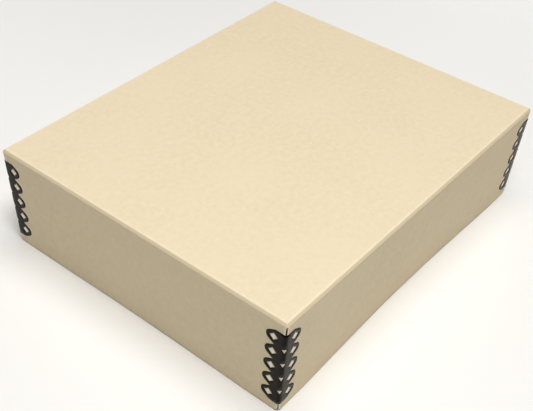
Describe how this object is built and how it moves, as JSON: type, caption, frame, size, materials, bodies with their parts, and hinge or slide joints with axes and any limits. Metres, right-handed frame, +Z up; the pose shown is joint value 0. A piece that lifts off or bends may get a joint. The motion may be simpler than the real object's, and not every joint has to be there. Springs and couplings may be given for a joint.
{
  "type": "archival box",
  "caption": "Flat rectangular storage box of folded buff board with black scalloped metal corner edges and a full-depth lift-off lid.",
  "frame": {"origin": "on the table, under the middle of the box", "axes": "+X along the long side, +Y to the back along the short side, +Z up, the way the lid lifts"},
  "size_m": [0.2922, 0.2414, 0.0794],
  "materials": {
    "board": "matte, lightly mottled buff paper",
    "metal_edge": "gloss black enamel"
  },
  "bodies": {
    "tray": {"tray_board": "board", "tray_edge_front_left": "metal_edge", "tray_edge_front_right": "metal_edge", "tray_edge_back_left": "metal_edge", "tray_edge_back_right": "metal_edge"},
    "lid": {"lid_board": "board", "lid_edge_front_left": "metal_edge", "lid_edge_front_right": "metal_edge", "lid_edge_back_left": "metal_edge", "lid_edge_back_right": "metal_edge"}
  },
  "joints": [
    {"name": "lid_lift", "type": "slide", "parent": "tray", "child": "lid", "axis": [0, 0, 1], "range_m": [0, 0.11]}
  ]
}
